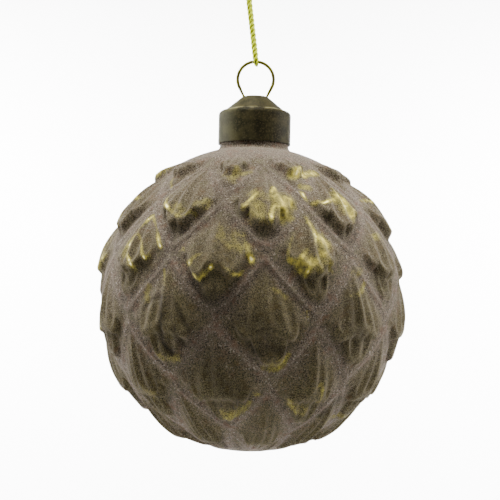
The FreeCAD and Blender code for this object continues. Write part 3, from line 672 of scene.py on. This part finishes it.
def flocked_glass(tree, place):
    """Glass coated with fine mauve-brown flock, thin over the leaves and worn through to gold.

    The flock scatters light without a highlight, in pale, pink and dark specks. Leaves show
    olive bronze through it, hollows below the lobes carry painted shade, and the marked places
    are worn to gold, which alone has some shine; the brightest of them carry a painted highlight
    in near-white gold. Real flock is finer than a tenth of a millimetre; its grains are drawn at
    0.24 mm, so that they show.
    """
    sizes = [(0.24, 2.0, 0.7), (0.45, 1.0, 0.5), (1.2, 1.0, 0.5), (2.4, 2.0, 0.6), (8.0, 3.0, 0.6)]
    grain, speck, broken, tint, cloud = (
        add(tree, NOISE, {"Vector": place, "Scale": 1 / (size * MM), "Detail": detail, "Roughness": rough})
        for size, detail, rough in sizes
    )
    face, rim, hollow_shade, gilt_and_glint, stroke_shade = (
        add(tree, STORED, {}, "Fac", attribute_name=name)
        for name in ("face", "rim", "hollow_shade", "gilt_and_glint", "stroke_shade")
    )
    # The flock itself, a little paler on the rims
    flock = layered(tree, linear("#1f1a13"), [
        (grain, 0.34, 0.66, 1.0, "#6a5f50"),
        (speck, 0.6, 0.72, 0.6, "#92887b"),
        (tint, 0.52, 0.75, 0.5, "#54392b"),
        (tint, 0.46, 0.3, 0.35, "#4c4a30"),
    ])
    paler = add(tree, MATHS, {0: rim, 1: 0.08}, operation="MULTIPLY")
    flock = add(tree, MIX, {0: paler, 6: flock, 7: linear("#7d7062")}, 2, data_type="RGBA")
    # The bronze under it shows where the flock is thin, and more so below the ball's middle
    bronze = layered(tree, linear("#1f1b0d"), [
        (grain, 0.34, 0.66, 1.0, "#585030"),
        (tint, 0.45, 0.7, 0.5, "#3a3614"),
    ])
    uneven = add(tree, MATHS, {0: cloud, 1: 0.9}, operation="MULTIPLY")
    thin = add(tree, MATHS, {0: face, 1: 0.6, 2: uneven}, operation="MULTIPLY_ADD")
    height = add(tree, AXES, {"Vector": place}, "Z")
    lower = {"Value": height, "From Min": -30 * MM, "From Max": -62 * MM, "To Min": 0.34, "To Max": 0.76}
    most = add(tree, STEP, lower, interpolation_type="SMOOTHSTEP")
    coat = layered(tree, flock, [(thin, 0.45, 1.0, most, bronze)])
    # Painted shade: hollows, grooves and the shade strokes are darkened towards near-black
    shade = {"Value": hollow_shade, "From Min": 0.2, "From Max": 0.9, "To Max": 0.14}
    shade = add(tree, STEP, shade, interpolation_type="SMOOTHSTEP")
    shade = add(tree, MATHS, {0: shade, 1: stroke_shade}, operation="ADD", use_clamp=True)
    shade = add(tree, MATHS, {0: shade, 1: 0.76}, operation="MULTIPLY")
    coat = add(tree, MIX, {0: shade, 6: coat, 7: linear("#0e0a06")}, 2, data_type="RGBA")
    # Rubbed places go from olive over gold to a painted highlight in near-white gold, with ragged edges
    broken = add(tree, MATHS, {0: broken, 1: 0.8, 2: 0.6}, operation="MULTIPLY_ADD")
    ragged = add(tree, MATHS, {0: tint, 1: 0.44, 2: -0.495}, operation="MULTIPLY_ADD")
    ragged = add(tree, MATHS, {0: grain, 1: 0.55, 2: ragged}, operation="MULTIPLY_ADD")
    rub_and_glint = add(tree, MATHS, {0: gilt_and_glint, 1: broken, 2: ragged}, operation="MULTIPLY_ADD")
    olive = layered(tree, linear("#38331a"), [(grain, 0.34, 0.66, 1.0, "#7a7140")])
    gold = layered(tree, linear("#857c34"), [(tint, 0.35, 0.7, 1.0, "#c2b24c")])
    colour = layered(tree, coat, [
        (rub_and_glint, 0.12, 0.4, 1.0, olive),
        (rub_and_glint, 0.36, 0.95, 1.0, gold),
        # Painted highlight: the strongest places turn near-white gold
        (rub_and_glint, 0.84, 1.16, 1.0, "#fff4ac"),
    ])
    bright = {"Value": rub_and_glint, "From Min": 0.36, "From Max": 0.95}
    bright = add(tree, STEP, bright, interpolation_type="SMOOTHSTEP")
    left = add(tree, MATHS, {0: bright, 1: -0.7, 2: 1.0}, operation="MULTIPLY_ADD")
    grit = add(tree, MATHS, {0: grain, 1: left}, operation="MULTIPLY")
    return {
        "Base Color": colour,
        "Metallic": add(tree, MATHS, {0: bright, 1: 0.25}, operation="MULTIPLY"),
        "Roughness": add(tree, MATHS, {0: bright, 1: -0.45, 2: 0.95}, operation="MULTIPLY_ADD"),
        "Normal": add(tree, BUMP, {"Height": grit, "Distance": 0.13 * MM, "Strength": 0.8}),
        "Specular IOR Level": 0.15,
        "Sheen Weight": 0.12,
        "Sheen Roughness": 0.5,
        "Sheen Tint": linear("#cfc0b4"),
    }


def antique_brass(tree, place):
    """Pressed brass sheet, stained brown and dulled, worn to gold along its crease.

    The stain hides the metal's shine, so the sheet looks dark and nearly matt, blotched by
    3 mm, with painted shade that makes it darker to the right and painted light that makes it
    paler at its left edge. The cone over the crease is lighter.
    """
    fine, blotch = (
        add(tree, NOISE, {"Vector": place, "Scale": 1 / (size * MM), "Detail": 3.0, "Roughness": rough})
        for size, rough in ((0.4, 0.65), (3.0, 0.6))
    )
    across = add(tree, AXES, {"Vector": place}, "X")
    up = add(tree, AXES, {"Vector": place}, "Z")
    from_crease = add(tree, MATHS, {0: up, 1: cap_ledge_z * MM}, operation="SUBTRACT")
    from_crease = add(tree, MATHS, {0: from_crease}, operation="ABSOLUTE")
    worn = {"Value": from_crease, "From Min": 0.55 * MM, "From Max": 0.1 * MM, "To Max": 0.6}
    worn = add(tree, STEP, worn, interpolation_type="SMOOTHSTEP")
    lighter = add(tree, MATHS, {0: blotch, 1: 0.4}, operation="MULTIPLY")
    right_shade = layered(tree, linear("#17150c"), [(fine, 0.4, 0.6, 1.0, "#2c2415")])
    colour = layered(tree, linear("#242318"), [
        (blotch, 0.35, 0.7, 1.0, "#3f3b26"),
        (fine, 0.52, 0.72, 1.0, "#48432f"),
        # Painted shade towards the right side, and painted light along the left edge
        (across, -6.0 * MM, 3.0 * MM, 0.5, right_shade),
        (across, -3.5 * MM, -7.5 * MM, 0.4, "#5b5945"),
        (up, (cap_ledge_z - 0.2) * MM, (cap_ledge_z + 1.0) * MM, lighter, "#3c3926"),
        (blotch, 0.4, 0.65, worn, "#7a7452"),
    ])
    return {
        "Base Color": colour,
        "Metallic": 0.0,
        "Roughness": add(tree, MATHS, {0: fine, 1: 0.16, 2: 0.42}, operation="MULTIPLY_ADD"),
        "Specular IOR Level": 0.02,
        "Normal": add(tree, BUMP, {"Height": blotch, "Distance": 0.08 * MM, "Strength": 0.5}),
    }


def hanger_wire(tree, place):
    """Drawn brass wire under old lacquer: a soft olive gold, in tones that change by 3.5 mm."""
    noise = {"Vector": place, "Scale": 1 / (3.5 * MM), "Detail": 2.0, "Roughness": 0.5}
    tone = add(tree, NOISE, noise)
    colour = layered(tree, linear("#4a4618"), [(tone, 0.35, 0.65, 1.0, "#736d24")])
    return {"Base Color": colour, "Metallic": 0.0, "Roughness": 0.6, "Specular IOR Level": 0.05}


def metallic_cord(tree, place):
    """Twisted metallic yarn: bright lime gold fibres, with painted shade in the grooves between strands.

    Real fibres are a few hundredths of a millimetre thick. They are drawn at 0.28 mm, so that
    they show as a glitter of lighter and darker spots.
    """
    noise = {"Vector": place, "Scale": 1 / (0.28 * MM), "Detail": 2.0, "Roughness": 0.6}
    fibre = add(tree, NOISE, noise)
    groove_shade = add(tree, STORED, {}, "Fac", attribute_name="groove_shade")
    colour = layered(tree, linear("#9aa400"), [
        (fibre, 0.38, 0.62, 1.0, "#e6f410"),
        # Painted shade where the strands turn in towards the cord's middle
        (groove_shade, 0.15, 0.55, 1.0, "#343a00"),
    ])
    return {
        "Base Color": colour,
        "Metallic": 0.1,
        "Roughness": 0.5,
        "Specular IOR Level": 0.15,
        "Normal": add(tree, BUMP, {"Height": fibre, "Distance": 0.05 * MM, "Strength": 0.6}),
    }


def studio_paper(tree, place):
    """Plain white paper, fully matt, so that wall and floor run into one another."""
    return {"Base Color": linear("#f4f4f4"), "Roughness": 1.0}


# Cord: one smooth line round the ring, and three strands laid round it. Sizes are in mm.

CORD_ROUTE = [
    (-2.36, -0.60, 17.70),
    (-0.46, -0.60, 3.62),
    (-0.12, -0.90, 1.10),
    (0.12, -0.86, -0.61),
    (0.12, 0.86, -0.61),
    (-0.12, 0.90, 1.10),
    (-0.46, 0.60, 3.62),
    (-2.36, 0.60, 17.70),
]
CORD_RADIUS = 0.57
CURVE_STEPS = 24
# Distance between the rings of points that a strand is made of, and points in a ring
STRAND_GAP = 0.22
STRAND_SIDES = 12
STRANDS = 3
LAY_LENGTH = 3.9
# Distance of a strand's middle from the cord's line, and its radius, in radii of the cord
STRAND_OFFSET = 0.74
STRAND_RADIUS = 0.68
# Where the cord bears on the ring it is pressed thinner by this share, over this length
LOOP_SQUEEZE = 0.4
LOOP_REACH = 1.6


def route_points(route):
    """Points along the smooth line that has the route as its control points, in metres."""
    curve = bpy.data.curves.new("cord_line", "CURVE")
    curve.dimensions = "3D"
    spline = curve.splines.new("NURBS")
    spline.points.add(len(route) - 1)
    for point, place in zip(spline.points, route):
        point.co = (*(Vector(place) * MM), 1.0)
    spline.order_u = 3
    spline.use_endpoint_u = True
    spline.resolution_u = CURVE_STEPS
    holder = bpy.data.objects.new("cord_line", curve)
    bpy.context.scene.collection.objects.link(holder)
    line = bpy.data.meshes.new_from_object(holder)
    points = np.empty(3 * len(line.vertices))
    line.vertices.foreach_get("co", points)
    bpy.data.objects.remove(holder)
    return points.reshape(-1, 3)


def even_points(points):
    """The same line with its points about STRAND_GAP apart, and the length up to each."""
    steps = np.linalg.norm(np.diff(points, axis=0), axis=1)
    lengths = np.append(0.0, np.cumsum(steps))
    wanted = np.linspace(0, lengths[-1], int(lengths[-1] / (STRAND_GAP * MM)) + 1)
    return np.stack([np.interp(wanted, lengths, points[:, k]) for k in range(3)], -1), wanted


def carried_frames(line):
    """Two unit vectors square to the line at each point, carried along it without twist.

    The first side is square to the line's start. Each next one is the side before it, less its
    part along the line there.
    """
    tangent = np.gradient(line, axis=0)
    tangent /= np.linalg.norm(tangent, axis=1, keepdims=True)
    side = np.cross(tangent[0], (0.0, 0.0, 1.0) if abs(tangent[0][2]) < 0.9 else (1.0, 0.0, 0.0))
    sides = []
    for ahead in tangent:
        side = side - ahead * np.dot(side, ahead)
        side = side / np.linalg.norm(side)
        sides.append(side)
    sides = np.array(sides)
    return sides, np.cross(tangent, sides)


def tube_faces(rings, start):
    """Faces of a closed tube through this many rings of points, the first at index start."""
    side = np.arange(STRAND_SIDES)
    first = start + STRAND_SIDES * np.arange(rings - 1)[:, None]
    here, after = first + side, first + (side + 1) % STRAND_SIDES
    quads = np.stack([here, after, after + STRAND_SIDES, here + STRAND_SIDES], -1)
    ends = [start + side[::-1], start + STRAND_SIDES * (rings - 1) + side]
    return quads.reshape(-1, 4).tolist() + [end.tolist() for end in ends]


def strand_mesh(line, lengths, radii, start=0):
    """Points, faces and painted shade in the grooves of the strands laid round a line.

    Strand k sits at the angle 2 pi (length / lay + k / strands) round the line, STRAND_OFFSET
    of the cord's radius there from it, and is a closed tube of STRAND_RADIUS of that radius.
    Their groove_shade, a painted shade, is 0 on the outside of the cord and 1 at its middle.
    Faces count the points from start.
    """
    first, second = carried_frames(line)
    turn = 2 * math.pi * np.arange(STRAND_SIDES)[:, None] / STRAND_SIDES
    points, faces, grooves = [], [], []
    for strand in range(STRANDS):
        angle = 2 * math.pi * (lengths / (LAY_LENGTH * MM) + strand / STRANDS)
        away = first * np.cos(angle)[:, None] + second * np.sin(angle)[:, None]
        core = line + away * radii[:, None] * STRAND_OFFSET
        side_a, side_b = carried_frames(core)
        spokes = side_a[:, None] * np.cos(turn) + side_b[:, None] * np.sin(turn)
        rings = core[:, None] + spokes * radii[:, None, None] * STRAND_RADIUS
        points.append(rings.reshape(-1, 3))
        grooves.append(0.5 - 0.5 * (spokes * away[:, None]).sum(-1).ravel())
        faces += tube_faces(len(core), start + strand * STRAND_SIDES * len(core))
    return np.concatenate(points), faces, np.concatenate(grooves)


def build_cord():
    """The doubled hanging cord, as strands along its route, pressed thin where it bears."""
    line, lengths = even_points(route_points(CORD_ROUTE))
    pressed = bump((lengths - lengths[-1] / 2) / MM, LOOP_REACH)
    radii = (1 - LOOP_SQUEEZE * pressed) * CORD_RADIUS * MM
    points, faces, grooves = strand_mesh(line, lengths, radii)
    cord = mesh_object("cord_strands", points, faces)
    add_attribute(cord, "groove_shade", grooves)
    return cord, [tuple(place) for place in line.tolist()]


# Knot: the two strands are bound by three turns of the same cord, with two cut tails, in mm

KNOT_LENGTH = 3.6
KNOT_TURNS = 3
TURN_STEPS = 24
# Radius of the turns at the knot's ends, and what is added to it at the knot's middle
WRAP_RADIUS = 1.02
WRAP_BULGE = 0.28
# The strands start inside the knot's foot, and their tails end short of the full length
TAIL_LENGTH = 3.0
TAIL_STEPS = 24
TAIL_START = 0.2
TAIL_END = 0.4
# From where on the tails splay, how far each is from the axis, and how much each mm adds
# outwards and sideways
SPLAY_START = 0.6 * KNOT_LENGTH
HALF_APART = 0.5
PARTING = 0.16
LEANING = 0.12


def build_knot():
    """A barrel knot in line with the pull of the strands, with its tails splayed above it.

    The wraps are a screw line whose radius is WRAP_RADIUS + WRAP_BULGE sin(pi part). Each tail
    runs up beside the axis and leaves it evenly from SPLAY_START on.
    """
    foot = (np.array(CORD_ROUTE[0]) + np.array(CORD_ROUTE[-1])) / 2
    pull = (Vector(CORD_ROUTE[0]) - Vector(CORD_ROUTE[1])).normalized()
    upright = np.array(pull.to_track_quat("Z", "Y").to_matrix())
    part = np.linspace(0, 1, TURN_STEPS * KNOT_TURNS + 1)
    angle = 2 * math.pi * KNOT_TURNS * part
    wide = WRAP_RADIUS + WRAP_BULGE * np.sin(math.pi * part)
    height = CORD_RADIUS + (KNOT_LENGTH - 2 * CORD_RADIUS) * part
    runs = [np.stack([wide * np.cos(angle), wide * np.sin(angle), height], -1)]
    part = np.linspace(0, 1, TAIL_STEPS + 1)
    height = TAIL_START + (KNOT_LENGTH + TAIL_LENGTH - TAIL_START - TAIL_END) * part
    splay = np.maximum(height - SPLAY_START, 0.0)
    for side in (-1, 1):
        across, out = LEANING * splay * part * side, side * (HALF_APART + PARTING * splay)
        runs.append(np.stack([across, out, height], -1))
    points, faces, grooves = np.empty((0, 3)), [], []
    for run in runs:
        line, lengths = even_points((foot + run @ upright.T) * MM)
        radii = np.full(len(lengths), CORD_RADIUS * MM)
        made, made_faces, made_grooves = strand_mesh(line, lengths, radii, len(points))
        points = np.vstack([points, made])
        faces += made_faces
        grooves.append(made_grooves)
    knot = mesh_object("cord_knot_wraps", points, faces)
    add_attribute(knot, "groove_shade", np.concatenate(grooves))
    return knot


# Hanger: the wire is dipped in lacquer, which thins out to nothing at the cap's top

# Thickness of the lacquer, and over what height above the cap it grows to it, in mm
LACQUER = 0.17
LACQUER_START = 0.5
# Corners whose places in metres agree to this many digits are one point
PLACE_DIGITS = 8


def build_ring():
    """The hanger's wire with its coat of lacquer: each point moves along its normal.

    The wire's triangles are joined where their corners meet, so that the coat stays closed.
    """
    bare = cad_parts["wire_hanger"].data
    places = np.empty(3 * len(bare.vertices))
    bare.vertices.foreach_get("co", places)
    corners = np.empty(len(bare.loops), np.int32)
    bare.loops.foreach_get("vertex_index", corners)
    places = np.round(places.reshape(-1, 3), PLACE_DIGITS)
    points, joined = np.unique(places, axis=0, return_inverse=True)
    ring = mesh_object("lacquered_wire", points, joined.ravel()[corners].reshape(-1, 3).tolist())
    normals = np.empty(points.size)
    ring.data.vertex_normals.foreach_get("vector", normals)
    coat = LACQUER * ease((points[:, 2] / MM - cap_top_z) / LACQUER_START)
    coated = points + normals.reshape(-1, 3) * coat[:, None] * MM
    ring.data.vertices.foreach_set("co", coated.ravel())
    ring.data.update()
    return ring


# The pieces, what they stand for in the frame, and their materials

cord, cord_path = build_cord()
knot = build_knot()
use("metallic_cord", metallic_cord, cord, knot)
for piece, node_name in ((cord, "hanging_cord"), (knot, "cord_knot")):
    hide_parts(node_name)
    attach(piece, "root")

ball = build_ball()
use("flocked_glass", flocked_glass, ball)
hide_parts("glass_ball")
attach(ball, "root")

ring = build_ring()
use("hanger_wire", hanger_wire, ring)
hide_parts("wire_hanger")
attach(ring, "root")
use("antique_brass", antique_brass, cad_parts["cap"])

# Studio: a pale sweep behind and below, soft light from above and from both sides, in mm

FLOOR_DROP = 420.0
SWEEP_RADIUS = 500.0
SWEEP_FRONT = -2500.0
SWEEP_BACK = 900.0
SWEEP_TOP = 2500.0
SWEEP_HALF_WIDTH = 3000.0
SWEEP_STEPS = 16


def build_sweep():
    """Floor, corner and wall in one strip behind and below the ball; the corner is a quarter circle."""
    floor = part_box("glass_ball")[0].z / MM - FLOOR_DROP
    turn = np.linspace(0, math.pi / 2, SWEEP_STEPS + 1)
    depth = SWEEP_BACK - SWEEP_RADIUS + SWEEP_RADIUS * np.sin(turn)
    depth = np.concatenate([[SWEEP_FRONT], depth, [SWEEP_BACK]])
    height = np.concatenate([[floor], floor + SWEEP_RADIUS * (1 - np.cos(turn)), [SWEEP_TOP]])
    left = np.stack([np.full(len(depth), -SWEEP_HALF_WIDTH), depth, height], -1)
    points = np.stack([left, left * (-1, 1, 1)], 1).reshape(-1, 3) * MM
    first = 2 * np.arange(len(depth) - 1)
    faces = np.stack([first, first + 1, first + 3, first + 2], -1).tolist()
    sweep = mesh_object("studio_sweep", points, faces)
    use("studio_paper", studio_paper, sweep)


def area_light(name, place, size, power, aim=BALL_CENTRE, spread=180):
    """A soft square light, placed and sized in mm, with its power in watts and its beam in degrees."""
    data = bpy.data.lights.new(name, "AREA")
    data.shape = "SQUARE"
    data.size = size * MM
    data.energy = power
    data.spread = math.radians(spread)
    light = bpy.data.objects.new(name, data)
    bpy.context.scene.collection.objects.link(light)
    light.location = Vector(place) * MM
    light.rotation_euler = (aim - Vector(place)).to_track_quat("-Z", "Y").to_euler()


build_sweep()
area_light("top_light", (-60, -80, 440), 280, 8.6)
area_light("front_light", (-260, -620, 260), 300, 1.1)
area_light("left_light", (-420, 130, 60), 260, 3.9)
area_light("right_light", (420, 60, 90), 300, 5.2)
# The wall's own lights stand to both sides, behind the ball
WALL_AIM = Vector((0, 900, -60))
for side in (-1, 1):
    area_light("wall_light", (560 * side, 480, 100), 300, 24.0, WALL_AIM, 120)
AMBIENT = 0.05
world = bpy.data.worlds.new("studio")
world.use_nodes = True
fill(world.node_tree, world.node_tree.nodes["Background"], {"Color": linear("#ffffff"), "Strength": AMBIENT})
bpy.context.scene.world = world
